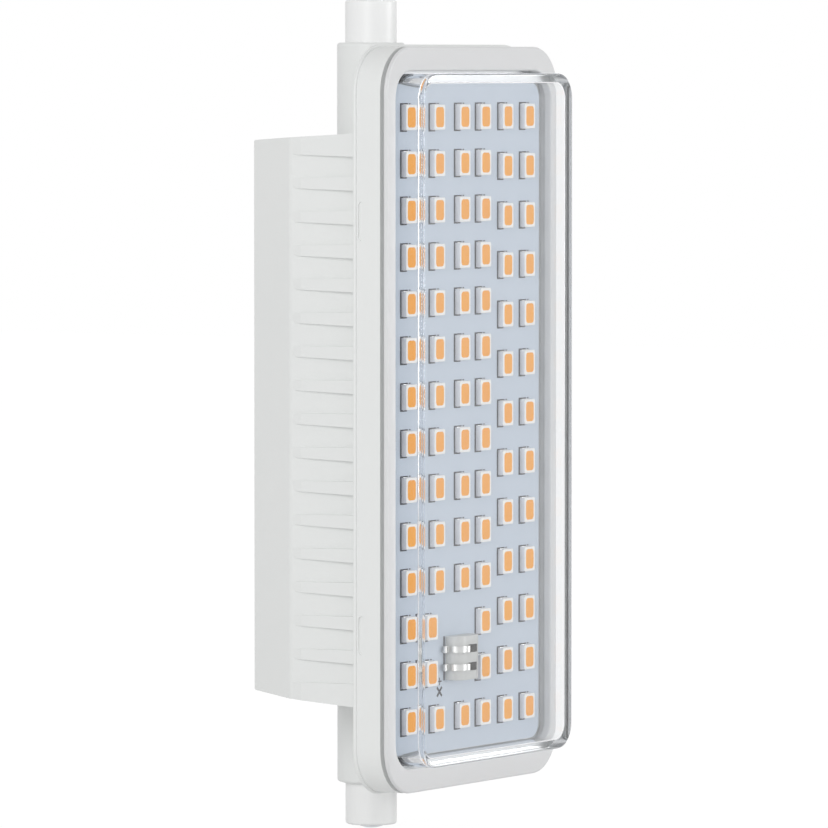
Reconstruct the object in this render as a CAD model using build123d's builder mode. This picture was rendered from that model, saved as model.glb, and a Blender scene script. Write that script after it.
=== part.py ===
from build123d import *
import os

# Linear LED lamp with a contact cap at each end, all sizes in millimetres.
# The lamp axis is Z, the light leaves towards -Y, and the origin is the tip of
# the lower contact. A "forward" distance is measured from the axis towards -Y.

# Lamp axis, caps and necks
lamp_length = 118.0
contact_proud = 0.6
cap_length = 6.0
cap_radius = 3.65
cap_edge_radius = 0.35
neck_radius = 4.8
neck_edge_radius = 0.45
neck_bore_radius = 3.0
spigot_length = 5.0
spigot_clearance = 0.05
contact_head_radius = 2.0
contact_seat_depth = 0.5
contact_dome = 0.45
contact_shank_radius = 1.0
contact_clearance = 0.05
middle = lamp_length / 2
shoulder = contact_proud + cap_length

# Rear body: drafted side walls, then a slanted facet to the flat back
body_half_length = 39.85
body_draft = 3.0
wall = 1.6
wall_half_width = 20.2
kink_half_width = 19.95
kink_depth = 0.8
kink_radius = 2.0
back_half_width = 14.85
back_depth = 10.2
back_edge_radius = 0.7

# Cooling fins on both side walls, growing from the kink towards the tray
groove_count = 16
groove_pitch = 4.69
fin_width = 2.0
fin_start_width = 1.4
fin_corner_radius = 0.65
fin_start_gap = 0.45
fin_ramp_length = 1.6
fin_ramp_rise = 0.4
fin_rise = 1.0
fin_root = 0.8

# Tray around the light-emitting board
tray_half_width = 23.0
tray_half_length = 51.8
tray_corner_radius = 6.4
tray_back = 11.6
tray_rim = 15.95
tray_floor = 1.6
tray_wall = 1.0
bead_width = 0.55
bead_rise = 0.3
bead_back_radius = 0.25
bead_front_radius = 0.25
seat_rib_width = 0.7
notch_places = (-29.6, 27.7)
notch_length = 5.4
notch_width = 1.05
notch_back_gap = 0.8
notch_depth = 0.2

# Front frame, with the widths of its face beside the cover and past its ends
frame_face = 17.1
frame_side_width = 2.4
frame_end_width = 3.4
lip_thickness = 0.5
seam_inset = 1.0
frame_edge_radius = 0.3
skirt_thickness = 0.6
skirt_length = 2.2
skirt_clearance = 0.15
snap_length = 8.0
snap_rise = 0.35
snap_width = 0.7
snap_clearance = 0.08
snap_spacing = 30.0
snap_depth = 1.2

# Clear cover with a raised box that stands through the frame
cover_corner_radius = 3.5
cover_face = 21.2
cover_wall = 1.2
cover_edge_radius = 0.35
cover_inner_radius = 0.2
cover_gap = 0.35
flange_thickness = 0.9
flange_clearance = 0.15

# Board, pad and heat spreader, stacked on the tray's floor
board_thickness = 1.2
board_clearance = 0.15
pad_thickness = 0.3
pad_inset = 0.6
spreader_thickness = 1.0
spreader_clearance = 0.2
spreader_leg_gap = 1.4
spreader_leg_depth = 6.0
spreader_leg_half_length = 34.0
pin_window_width = 4.0
pin_window_length = 7.0
pin_hole_radius = 0.65

# Light-emitting packages
package_width = 2.8
package_length = 3.5
package_height = 0.8
window_width = 2.05
window_length = 2.95
window_cut = 0.6
window_depth = 0.35
row_end_gap = 6.05
column_places = (-15.15, -9.2, -2.45, 3.15, 9.2, 15.15)
column_rows = (14, 14, 14, 14, 13, 13)
shifted_column = 1
shifted_rows = (11, 12)
column_shift = -1.9
bare_column = 2

# Two-pole connector on the board
connector_x = -3.45
connector_end_gap = 8.3
connector_width = 6.1
connector_length = 6.2
connector_rise = 2.4
connector_arch = 1.7
pole_pitch = 2.54
pole_offset = 0.8
pole_hole_width = 1.6
pole_hole_length = 1.1
strap_thickness = 0.2
strap_width = 0.9
strap_foot = 0.9
strap_tail = 0.7
spring_drop = 1.3
pin_side = 0.64
pin_reach = 1.6

# Driver board and its parts, on the side away from the light
driver_forward = 5.5
driver_thickness = 1.2
driver_half_width = 16.0
driver_half_length = 35.0
driver_corner_radius = 1.5
spacer_rise = 2.5
spacer_width = 2.5
pin_tail = 1.0
boss_radius = 2.2
boss_x = 12.8
boss_rise = 31.0
screw_radius = 0.9
screw_clearance = 0.2
thread_clearance = 0.05
screw_head_radius = 1.7
screw_head_height = 1.0
screw_slot_width = 0.5
screw_slot_length = 2.0
screw_length = 7.0
pilot_depth = 6.5
leg_side = 0.5
leg_clearance = 0.1
leg_tail = 0.8
leg_root = 1.5
lead_radius = 0.6
lead_bend = 1.6
lower_pad_rise = -28.0
upper_pad_rise = 29.0

bulk_radius = 4.5
bulk_length = 16.0
bulk_x = -9.5
bulk_rise = 8.0
smoothing_radius = 4.0
smoothing_length = 12.0
smoothing_x = 9.0
smoothing_rise = -17.0
can_edge_cut = 0.5
can_groove_depth = 0.35
can_groove_place = 1.8
can_lead_spread = 1.75
can_lead_run = 1.5

choke_x = 5.5
choke_rise = 3.0
core_width = 13.0
core_length = 12.5
core_depth = 6.0
core_limb = 2.6
core_centre = 3.4
bobbin_wall = 0.6
winding_depth = 1.4
choke_gap = 0.1
choke_half_depth = 5.2
choke_leg_x = 2.5

film_width = 13.0
film_length = 6.0
film_height = 10.5
film_x = 0.0
film_rise = 19.5
film_leg_inset = 1.5
film_edge_cut = 0.4
varistor_radius = 3.6
varistor_thickness = 3.4
varistor_x = -9.5
varistor_rise = 25.5
varistor_gap = 0.8
varistor_spread = 2.5
varistor_edge_cut = 0.9
fuse_radius = 1.7
fuse_length = 7.5
fuse_x = 9.5
fuse_rise = 26.0
fuse_gap = 0.4
fuse_lead_run = 1.4
fuse_edge_cut = 0.5
bridge_width = 6.4
bridge_length = 5.0
bridge_height = 2.4
bridge_x = -8.0
bridge_rise = -8.0
bridge_pitch = 2.54
chip_width = 4.0
chip_length = 5.0
chip_height = 1.5
chip_x = -5.5
chip_rise = -17.0
leg_width = 0.45
leg_pitch = 1.27
leg_reach = 1.0
leg_thickness = 0.25
package_chamfer = 0.3

# Places that follow from the sizes above
flat_tolerance = 0.01
least_radius = 0.5
frame_back = tray_rim
cover_half_width = tray_half_width - frame_side_width - cover_gap
cover_half_length = tray_half_length - frame_end_width - cover_gap
row_half_span = cover_half_length - row_end_gap
connector_drop = row_half_span - connector_end_gap
floor_front = tray_back + tray_floor
spreader_front = floor_front + spreader_thickness
pad_front = spreader_front + pad_thickness
board_front = pad_front + board_thickness
cover_back = tray_rim - flange_thickness
skirt_outer = tray_wall + skirt_clearance
skirt_inner = skirt_outer + skirt_thickness
flange_inset = skirt_inner + flange_clearance
rib_inner = flange_inset + seat_rib_width
package_front = board_front + package_height
driver_rear = driver_forward - driver_thickness
connector_front = board_front + connector_rise
connector_height = middle - connector_drop
pole_x = connector_x + pole_offset
poles = [(pole_x, side * pole_pitch / 2 - connector_drop) for side in (-1, 1)]
notch_forward = tray_back + notch_back_gap + notch_width / 2
neck_root = middle - body_half_length + 2 * wall
bosses = [(side * boss_x, -side * boss_rise) for side in (-1, 1)]
leg_hole = leg_side + 2 * leg_clearance
fuse_spread = fuse_length / 2 + fuse_lead_run - leg_side / 2
choke_leg_rise = core_length / 2 - core_limb - choke_gap - bobbin_wall / 2
choke_legs = [
    (choke_x + across * choke_leg_x, choke_rise + along * choke_leg_rise)
    for across in (-1, 1)
    for along in (-1, 1)
]
bulk_leg_rise = bulk_rise - bulk_length / 2 - can_lead_run + leg_side / 2
smoothing_leg_rise = smoothing_rise - smoothing_length / 2 - can_lead_run + leg_side / 2
lead_holes = (
    choke_legs
    + [(bulk_x + side * can_lead_spread, bulk_leg_rise) for side in (-1, 1)]
    + [(smoothing_x + side * can_lead_spread, smoothing_leg_rise) for side in (-1, 1)]
    + [(film_x + side * (film_width / 2 - film_leg_inset), film_rise) for side in (-1, 1)]
    + [(varistor_x + side * varistor_spread, varistor_rise) for side in (-1, 1)]
    + [(fuse_x, fuse_rise + side * fuse_spread) for side in (-1, 1)]
)


def front(forward):
    """Plane across the lamp that faces the light, centred half-way up."""
    return Plane(origin=(0, -forward, middle), x_dir=(1, 0, 0), z_dir=(0, -1, 0))


def rear(forward):
    """The same plane, facing the back of the lamp."""
    return Plane(origin=(0, -forward, middle), x_dir=(-1, 0, 0), z_dir=(0, 1, 0))


def tray_outline(inset, mode=Mode.ADD):
    """Rounded outline of the tray, drawn in by the inset all round."""
    return RectangleRounded(
        2 * (tray_half_width - inset),
        2 * (tray_half_length - inset),
        max(tray_corner_radius - inset, least_radius),
        mode=mode,
    )


def cover_outline(growth):
    """Rounded outline of the cover's raised box, let out by the growth."""
    return RectangleRounded(
        2 * (cover_half_width + growth),
        2 * (cover_half_length + growth),
        max(cover_corner_radius + growth, least_radius),
    )


def board_outline(inset):
    """Rounded outline of the board, which drops in between the cover's walls."""
    return cover_outline(-cover_wall - board_clearance - inset)


def led_places():
    """Centre of every light-emitting package, as seen from the front."""
    places = []
    for column, (x, rows) in enumerate(zip(column_places, column_rows)):
        for row in range(rows):
            beside_connector = rows == column_rows[shifted_column] and row in shifted_rows
            if beside_connector and column == bare_column:
                continue
            shift = column_shift if beside_connector and column == shifted_column else 0
            places.append((x + shift, row_half_span * (1 - 2 * row / (rows - 1))))
    return places


def snap_ridges(growth):
    """Pointed ridges on the frame's long sides, let out to make their grooves."""
    root = tray_half_width - skirt_outer - growth
    tip = root + snap_rise + 2 * growth
    forward = frame_back - snap_depth
    half_width = snap_width / 2 + growth
    with BuildPart() as ridges:
        for rise in (-snap_spacing, 0, snap_spacing):
            with BuildSketch(Plane.XY.offset(middle + rise - snap_length / 2 - growth)):
                for side in (-1, 1):
                    with BuildLine():
                        Polyline(
                            (side * root, -forward - half_width),
                            (side * tip, -forward),
                            (side * root, -forward + half_width),
                            close=True,
                        )
                    make_face()
            extrude(amount=snap_length + 2 * growth)
    return ridges.part


def save(part, name):
    """Label one finished piece and write it to its own file."""
    os.makedirs("parts", exist_ok=True)
    part.label = name
    export_step(part, f"parts/{name}.step")


def body_outline(front_y):
    """Corners of the body seen along the lamp, open side towards the tray."""
    half = [
        (wall_half_width, front_y),
        (kink_half_width, kink_depth),
        (back_half_width, back_depth),
    ]
    return half + [(-x, y) for x, y in reversed(half)]


# Space between the drafted end walls
with BuildPart() as end_draft:
    with BuildSketch(rear(tray_back)):
        Rectangle(4 * tray_half_width, 2 * body_half_length)
    extrude(amount=tray_back + back_depth, taper=body_draft)
    with BuildSketch(rear(tray_back)):
        Rectangle(4 * tray_half_width, 2 * body_half_length)
    extrude(amount=-fin_root)

# Blank of the body, softened along the kink and round the back
with BuildPart() as body_blank:
    with BuildSketch(Plane.XY.offset(middle)):
        with BuildLine():
            Polyline(*body_outline(-tray_back), close=True)
        make_face()
    extrude(amount=body_half_length, both=True)
    add(end_draft.part, mode=Mode.INTERSECT)
    kinks = body_blank.edges().filter_by(Axis.Z).filter_by(
        lambda edge: abs(abs(edge.center().X) - kink_half_width) < flat_tolerance
    )
    fillet(kinks, kink_radius)
    back_face = body_blank.faces().sort_by(Axis.Y)[-1]
    fillet(back_face.edges(), back_edge_radius)

# Fins: round-ended bands between the grooves, ramping up from the wall and
# flaring towards the tray, where their roots run into its floor
with BuildPart() as fins:
    fin_start = kink_depth - fin_start_gap
    fin_end = -tray_back - fin_root
    fin_top = groove_pitch * groove_count / 2
    end_band_edge = fin_top - fin_width / 2
    with BuildSketch(Plane.YZ):
        for step in range(1, groove_count):
            centre = middle - fin_top + step * groove_pitch
            with BuildLine():
                FilletPolyline(
                    (fin_end, centre - fin_width / 2),
                    (fin_end, centre + fin_width / 2),
                    (fin_start, centre + fin_start_width / 2),
                    (fin_start, centre - fin_start_width / 2),
                    radius=fin_corner_radius,
                    close=True,
                )
            make_face()
        for side in (-1, 1):
            with BuildLine():
                Polyline(
                    (fin_end, middle + side * end_band_edge),
                    (fin_end, middle + side * tray_half_length),
                    (fin_start, middle + side * tray_half_length),
                    (fin_start, middle + side * (end_band_edge + (fin_width - fin_start_width) / 2)),
                    close=True,
                )
            make_face()
    extrude(amount=tray_half_width, both=True)
    with BuildSketch(Plane.XY.offset(middle)):
        with BuildLine():
            Polyline(
                (wall_half_width + fin_rise, fin_end),
                (wall_half_width + fin_rise, -tray_back),
                (kink_half_width + fin_ramp_rise, fin_start - fin_ramp_length),
                (kink_half_width, fin_start),
                (-kink_half_width, fin_start),
                (-kink_half_width - fin_ramp_rise, fin_start - fin_ramp_length),
                (-wall_half_width - fin_rise, -tray_back),
                (-wall_half_width - fin_rise, fin_end),
                close=True,
            )
        make_face()
    extrude(amount=tray_half_length, both=True, mode=Mode.INTERSECT)
    add(end_draft.part, mode=Mode.INTERSECT)

# Blank of the tray: a rounded slab with a small bead round its back edge
with BuildPart() as tray_blank:
    with BuildSketch(front(tray_back)):
        tray_outline(-bead_rise)
    extrude(amount=bead_width)
    fillet(tray_blank.faces().sort_by(Axis.Y)[-1].edges(), bead_back_radius)
    fillet(tray_blank.faces().sort_by(Axis.Y)[0].edges(), bead_front_radius)
    with BuildSketch(front(tray_back)):
        tray_outline(0)
    extrude(amount=tray_rim - tray_back)

# Hollow of the body, open into the tray
with BuildPart() as hollow:
    with BuildSketch(Plane.XY.offset(middle)):
        with BuildLine():
            Polyline(*body_outline(-floor_front - 2 * wall), close=True)
        make_face()
        offset(amount=-wall, kind=Kind.INTERSECTION, mode=Mode.REPLACE)
    extrude(amount=body_half_length, both=True)
    with BuildSketch(rear(floor_front)):
        Rectangle(4 * tray_half_width, 2 * (body_half_length - wall))
    extrude(amount=floor_front + back_depth - wall, taper=body_draft, mode=Mode.INTERSECT)

# Rear housing: one moulding with body, fins, necks and tray
with BuildPart() as rear_housing:
    add(body_blank.part)
    add(fins.part)
    for side in (-1, 1):
        with BuildSketch(Plane.XY.offset(middle + side * (middle - shoulder))):
            Circle(neck_radius)
        extrude(amount=-side * (neck_root - shoulder))
    add(tray_blank.part)
    with BuildSketch(front(floor_front)):
        tray_outline(tray_wall)
    extrude(amount=tray_rim - floor_front, mode=Mode.SUBTRACT)
    with BuildSketch(front(floor_front)):
        tray_outline(flange_inset)
        tray_outline(rib_inner, mode=Mode.SUBTRACT)
    extrude(amount=cover_back - floor_front)
    add(hollow.part, mode=Mode.SUBTRACT)

    # Bores of the two necks, with their outer edges rounded
    for side in (-1, 1):
        with BuildSketch(Plane.XY.offset(middle + side * (middle - shoulder))):
            Circle(neck_bore_radius)
        extrude(amount=-side * (neck_root - shoulder), mode=Mode.SUBTRACT)
    neck_ends = rear_housing.faces().filter_by(Axis.Z).filter_by(
        lambda face: abs(abs(face.center().Z - middle) - middle + shoulder) < flat_tolerance
    )
    fillet([face.outer_wire().edges()[0] for face in neck_ends], neck_edge_radius)

    # Screw bosses on the back wall
    with BuildSketch(front(driver_rear)):
        with Locations(*bosses):
            Circle(boss_radius)
    extrude(amount=-(driver_rear + back_depth - wall / 2))
    with BuildSketch(front(driver_rear)):
        with Locations(*bosses):
            Circle(screw_radius + thread_clearance)
    extrude(amount=-pilot_depth, mode=Mode.SUBTRACT)

    # Shallow notches in the tray's sides
    for side in (-1, 1):
        with BuildSketch(Plane.YZ.offset(side * tray_half_width)):
            with Locations(*[(-notch_forward, middle + place) for place in notch_places]):
                SlotOverall(notch_length, notch_width, rotation=90)
        extrude(amount=-side * notch_depth, mode=Mode.SUBTRACT)

    # Grooves that the frame's ridges snap into
    add(snap_ridges(snap_clearance), mode=Mode.SUBTRACT)
save(rear_housing.part, "rear_housing")

# Front frame: a ring with a recessed seam, a skirt and snap ridges
with BuildPart() as front_frame:
    with BuildSketch(front(frame_back)):
        tray_outline(seam_inset)
    extrude(amount=frame_face - frame_back)
    with BuildSketch(front(frame_face - lip_thickness)):
        tray_outline(0)
    extrude(amount=lip_thickness)
    face_edges = front_frame.faces().sort_by(Axis.Y)[0].edges()
    fillet(face_edges, frame_edge_radius)
    with BuildSketch(front(frame_back)):
        cover_outline(cover_gap)
    extrude(amount=frame_face - frame_back, mode=Mode.SUBTRACT)
    rim = front_frame.faces().sort_by(Axis.Y)[0].inner_wires().edges()
    fillet(rim, frame_edge_radius)
    with BuildSketch(front(frame_back)):
        tray_outline(skirt_outer)
        tray_outline(skirt_inner, mode=Mode.SUBTRACT)
    extrude(amount=-skirt_length)
    add(snap_ridges(0))
save(front_frame.part, "front_frame")

# Clear cover: a raised box with a flange held under the frame
with BuildPart() as clear_cover:
    with BuildSketch(front(cover_back)):
        tray_outline(flange_inset)
    extrude(amount=flange_thickness)
    with BuildSketch(front(cover_back)):
        cover_outline(0)
    extrude(amount=cover_face - cover_back)
    fillet(clear_cover.faces().sort_by(Axis.Y)[0].edges(), cover_edge_radius)
    with BuildSketch(front(cover_back)):
        cover_outline(-cover_wall)
    extrude(amount=cover_face - cover_wall - cover_back, mode=Mode.SUBTRACT)
    ceiling = clear_cover.faces().filter_by(Axis.Y).filter_by(
        lambda face: abs(face.center().Y + cover_face - cover_wall) < flat_tolerance
    )
    fillet(ceiling.edges(), cover_inner_radius)
save(clear_cover.part, "clear_cover")

# Board, pad and spreader, each with an opening for the two driver pins
with BuildPart() as led_board:
    with BuildSketch(front(pad_front)):
        board_outline(0)
        with Locations(*poles):
            Circle(pin_hole_radius, mode=Mode.SUBTRACT)
    extrude(amount=board_thickness)
save(led_board.part, "led_board")

with BuildPart() as thermal_pad:
    with BuildSketch(front(spreader_front)):
        board_outline(pad_inset)
        with Locations((pole_x, -connector_drop)):
            Rectangle(pin_window_width, pin_window_length, mode=Mode.SUBTRACT)
    extrude(amount=pad_thickness)
save(thermal_pad.part, "thermal_pad")

with BuildPart() as heat_spreader:
    with BuildSketch(front(floor_front)):
        tray_outline(rib_inner + spreader_clearance)
    extrude(amount=spreader_thickness)
    leg_outer = wall_half_width - wall - spreader_leg_gap
    with BuildSketch(front(floor_front)):
        with Locations(*[(side * (leg_outer - spreader_thickness / 2), 0) for side in (-1, 1)]):
            Rectangle(spreader_thickness, 2 * spreader_leg_half_length)
    extrude(amount=-spreader_leg_depth)
    with BuildSketch(front(floor_front)):
        with Locations((pole_x, -connector_drop)):
            Rectangle(pin_window_width, pin_window_length)
    extrude(amount=spreader_thickness, mode=Mode.SUBTRACT)
save(heat_spreader.part, "heat_spreader")

# Light-emitting packages, each with a moulded cup for its phosphor
with BuildSketch() as cup_outline:
    Rectangle(window_width, window_length)
    chamfer(cup_outline.vertices(), window_cut)

with BuildPart() as led_packages:
    with BuildSketch(front(board_front)):
        with Locations(*led_places()):
            Rectangle(package_width, package_length)
    extrude(amount=package_height)
    with BuildSketch(front(package_front - window_depth)):
        with Locations(*led_places()):
            add(cup_outline.sketch)
    extrude(amount=window_depth, mode=Mode.SUBTRACT)
save(led_packages.part, "led_packages")

with BuildPart() as phosphor_windows:
    with BuildSketch(front(package_front - window_depth)):
        with Locations(*led_places()):
            add(cup_outline.sketch)
    extrude(amount=window_depth)
save(phosphor_windows.part, "phosphor_windows")

# Connector on the board: an arched body with two sockets
connector_left = connector_x - connector_width / 2
with BuildSketch() as connector_profile:
    with Locations((connector_x, -(board_front + connector_front) / 2)):
        Rectangle(connector_width, connector_rise)
    fillet(connector_profile.vertices().group_by(Axis.Y)[0], connector_arch)

with BuildPart() as board_connector:
    with BuildSketch(Plane.XY.offset(connector_height - connector_length / 2)):
        add(connector_profile.sketch)
    extrude(amount=connector_length)
    with BuildSketch(front(board_front)):
        with Locations(*poles):
            Rectangle(pole_hole_width, pole_hole_length)
    extrude(amount=connector_rise, mode=Mode.SUBTRACT)
save(board_connector.part, "board_connector")

# Contact straps: foot on the board, over the arch, spring against the pin, and a
# tail at the far side
hole_left = pole_x - pole_hole_width / 2
pin_left = pole_x - pin_side / 2
with BuildPart() as connector_contacts:
    for x, rise in poles:
        with BuildSketch(Plane.XY.offset(middle + rise - strap_width / 2)):
            add(connector_profile.sketch)
            offset(amount=strap_thickness, mode=Mode.REPLACE)
            add(connector_profile.sketch, mode=Mode.SUBTRACT)
            with Locations((connector_left - strap_thickness, -board_front)):
                Rectangle(
                    hole_left - connector_left + strap_thickness,
                    connector_rise + strap_thickness,
                    align=(Align.MIN, Align.MAX),
                    mode=Mode.INTERSECT,
                )
            with Locations((connector_left, -board_front)):
                Rectangle(strap_foot, strap_thickness, align=(Align.MAX, Align.MAX))
            with Locations((connector_left + connector_width, -board_front)):
                Rectangle(strap_tail, strap_thickness, align=(Align.MIN, Align.MAX))
            with Locations((hole_left, -connector_front - strap_thickness)):
                Rectangle(strap_thickness, spring_drop, align=(Align.MIN, Align.MIN))
            with Locations((hole_left, spring_drop - connector_front - strap_thickness)):
                Rectangle(pin_left - hole_left, strap_thickness, align=(Align.MIN, Align.MAX))
        extrude(amount=strap_width)
save(connector_contacts.part, "connector_contacts")

# Driver board and what it stands on
with BuildPart() as driver_board:
    with BuildSketch(front(driver_rear)):
        RectangleRounded(2 * driver_half_width, 2 * driver_half_length, driver_corner_radius)
        with Locations(*poles):
            Rectangle(pin_side, pin_side, mode=Mode.SUBTRACT)
        with Locations(*bosses):
            Circle(screw_radius + screw_clearance, mode=Mode.SUBTRACT)
        with Locations(*lead_holes):
            Rectangle(leg_hole, leg_hole, mode=Mode.SUBTRACT)
    extrude(amount=driver_thickness)
save(driver_board.part, "driver_board")

with BuildPart() as driver_screws:
    with BuildSketch(front(driver_forward)):
        with Locations(*bosses):
            Circle(screw_head_radius)
    extrude(amount=screw_head_height)
    with BuildSketch(front(driver_forward)):
        with Locations(*bosses):
            Circle(screw_radius)
    extrude(amount=-screw_length)
    with BuildSketch(front(driver_forward + screw_head_height)):
        with Locations(*bosses):
            Rectangle(screw_slot_width, screw_slot_length)
            Rectangle(screw_slot_length, screw_slot_width)
    extrude(amount=-screw_head_height / 2, mode=Mode.SUBTRACT)
save(driver_screws.part, "driver_screws")

# Two pins carry the driver's output through the board into the connector
with BuildPart() as output_pins:
    with BuildSketch(front(driver_rear - pin_tail)):
        with Locations(*poles):
            Rectangle(pin_side, pin_side)
    extrude(amount=board_front + pin_reach - driver_rear + pin_tail)
save(output_pins.part, "output_pins")

with BuildPart() as pin_spacer:
    with BuildSketch(front(driver_forward)):
        with Locations((pole_x, -connector_drop)):
            Rectangle(spacer_width, 2 * pole_pitch)
        with Locations(*poles):
            Rectangle(pin_side, pin_side, mode=Mode.SUBTRACT)
    extrude(amount=spacer_rise)
save(pin_spacer.part, "pin_spacer")


def capacitor_can(radius, length, x, rise):
    """Lying aluminium can with a crimp groove, its two leads bent into the board."""
    axis_forward = driver_rear - radius
    near_end = middle + rise - length / 2
    with BuildPart() as can:
        with BuildSketch(Plane.XY.offset(near_end)):
            with Locations((x, -axis_forward)):
                Circle(radius)
        extrude(amount=length)
        chamfer(can.edges().filter_by(GeomType.CIRCLE), can_edge_cut)
        with BuildSketch(Plane.XY.offset(near_end + can_groove_place)):
            with Locations((x, -axis_forward)):
                Circle(radius)
                Circle(radius - can_groove_depth, mode=Mode.SUBTRACT)
        extrude(amount=can_groove_depth, mode=Mode.SUBTRACT)
        for side in (-1, 1):
            with BuildSketch(Plane.YZ.offset(x + side * can_lead_spread - leg_side / 2)):
                with Locations((-axis_forward, near_end)):
                    Rectangle(leg_side, can_lead_run, align=(Align.CENTER, Align.MAX))
                with Locations((-axis_forward + leg_side / 2, near_end - can_lead_run)):
                    Rectangle(
                        driver_forward - axis_forward + leg_side / 2 + leg_tail,
                        leg_side,
                        align=(Align.MAX, Align.MIN),
                    )
            extrude(amount=leg_side)
    return can.part


def leg_pair(x, rise, spread, reach):
    """Two straight legs that start inside a part and pass through the board."""
    with BuildPart() as legs:
        with BuildSketch(front(driver_forward + leg_tail)):
            with Locations((x - spread, rise), (x + spread, rise)):
                Rectangle(leg_side, leg_side)
        extrude(amount=-(driver_thickness + leg_tail + reach))
    return legs.part


def gull_wing_package(width, length, height, x, rise, legs_a_side, pitch):
    """Flat moulded package on the board with bent legs along two sides."""
    with BuildPart() as package:
        with BuildSketch(front(driver_rear)):
            with Locations((x, rise)):
                Rectangle(width, length)
        extrude(amount=-height)
        chamfer(package.faces().sort_by(Axis.Y)[-1].edges(), package_chamfer)
        with BuildSketch(front(driver_rear)):
            with Locations((x, rise)):
                with GridLocations(width + leg_reach, pitch, 2, legs_a_side):
                    Rectangle(leg_reach, leg_width)
        extrude(amount=-leg_thickness)
    return package.part


save(capacitor_can(bulk_radius, bulk_length, bulk_x, bulk_rise), "bulk_capacitor")
save(capacitor_can(smoothing_radius, smoothing_length, smoothing_x, smoothing_rise), "smoothing_capacitor")
save(
    gull_wing_package(bridge_width, bridge_length, bridge_height, bridge_x, bridge_rise, 2, bridge_pitch),
    "bridge_rectifier",
)
save(
    gull_wing_package(chip_width, chip_length, chip_height, chip_x, chip_rise, 4, leg_pitch),
    "driver_chip",
)

# Film capacitor: a moulded block standing on the board
with BuildPart() as film_capacitor:
    with BuildSketch(front(driver_rear)):
        with Locations((film_x, film_rise)):
            Rectangle(film_width, film_length)
    extrude(amount=-film_height)
    chamfer(film_capacitor.edges(), film_edge_cut)
    add(leg_pair(film_x, film_rise, film_width / 2 - film_leg_inset, leg_root))
save(film_capacitor.part, "film_capacitor")

# Varistor: a coated disc on two legs
with BuildPart() as varistor:
    with BuildSketch(Plane.XY.offset(middle + varistor_rise - varistor_thickness / 2)):
        with Locations((varistor_x, varistor_gap + varistor_radius - driver_rear)):
            Circle(varistor_radius)
    extrude(amount=varistor_thickness)
    chamfer(varistor.edges().filter_by(GeomType.CIRCLE), varistor_edge_cut)
    add(leg_pair(varistor_x, varistor_rise, varistor_spread, varistor_gap + varistor_radius))
save(varistor.part, "varistor")

# Fusible resistor: a lying barrel with its wires bent down
with BuildPart() as fusible_resistor:
    fuse_forward = driver_rear - fuse_radius - fuse_gap
    with BuildSketch(Plane.XY.offset(middle + fuse_rise - fuse_length / 2)):
        with Locations((fuse_x, -fuse_forward)):
            Circle(fuse_radius)
    extrude(amount=fuse_length)
    chamfer(fusible_resistor.edges().filter_by(GeomType.CIRCLE), fuse_edge_cut)
    with BuildSketch(Plane.YZ.offset(fuse_x - leg_side / 2)):
        for side in (-1, 1):
            run_centre = middle + fuse_rise + side * (fuse_length + fuse_lead_run) / 2
            with Locations((-fuse_forward, run_centre)):
                Rectangle(leg_side, fuse_lead_run)
            with Locations((leg_side / 2 - fuse_forward, middle + fuse_rise + side * fuse_spread)):
                Rectangle(
                    driver_forward - fuse_forward + leg_side / 2 + leg_tail,
                    leg_side,
                    align=(Align.MAX, Align.CENTER),
                )
    extrude(amount=leg_side)
save(fusible_resistor.part, "fusible_resistor")

# Choke: ferrite core, bobbin and winding about one upright axis
choke_forward = driver_rear - choke_half_depth
core_window = (core_width - 2 * core_limb - core_centre) / 2
winding_length = core_length - 2 * core_limb - 2 * bobbin_wall - 2 * choke_gap
tube_width = core_centre + 2 * (choke_gap + bobbin_wall)
tube_depth = core_depth + 2 * (choke_gap + bobbin_wall)

with BuildPart() as choke_core:
    with BuildSketch(front(choke_forward + core_depth / 2)):
        with Locations((choke_x, choke_rise)):
            Rectangle(core_width, core_length)
        for side in (-1, 1):
            with Locations((choke_x + side * (core_centre + core_window) / 2, choke_rise)):
                Rectangle(core_window, core_length - 2 * core_limb, mode=Mode.SUBTRACT)
    extrude(amount=-core_depth)
save(choke_core.part, "choke_core")

with BuildPart() as choke_bobbin:
    with BuildSketch(Plane.XY.offset(middle + choke_rise - winding_length / 2)):
        with Locations((choke_x, -choke_forward)):
            Rectangle(tube_width, tube_depth)
    extrude(amount=winding_length)
    for side in (-1, 1):
        with BuildSketch(Plane.XY.offset(middle + choke_rise + side * winding_length / 2)):
            with Locations((choke_x, -choke_forward)):
                Rectangle(core_centre + 2 * (core_window - choke_gap), 2 * choke_half_depth)
        extrude(amount=side * bobbin_wall)
    with BuildSketch(Plane.XY.offset(middle + choke_rise - core_length / 2)):
        with Locations((choke_x, -choke_forward)):
            Rectangle(core_centre + 2 * choke_gap, core_depth + 2 * choke_gap)
    extrude(amount=core_length, mode=Mode.SUBTRACT)
    with BuildSketch(front(driver_forward + leg_tail)):
        with Locations(*choke_legs):
            Rectangle(leg_side, leg_side)
    extrude(amount=-(driver_thickness + leg_tail + leg_root))
save(choke_bobbin.part, "choke_bobbin")

with BuildPart() as choke_winding:
    with BuildSketch(Plane.XY.offset(middle + choke_rise - winding_length / 2)):
        with Locations((choke_x, -choke_forward)):
            winding = Rectangle(tube_width, tube_depth, mode=Mode.PRIVATE)
            offset(winding, amount=winding_depth)
            Rectangle(tube_width, tube_depth, mode=Mode.SUBTRACT)
    extrude(amount=winding_length)
save(choke_winding.part, "choke_winding")

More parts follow.
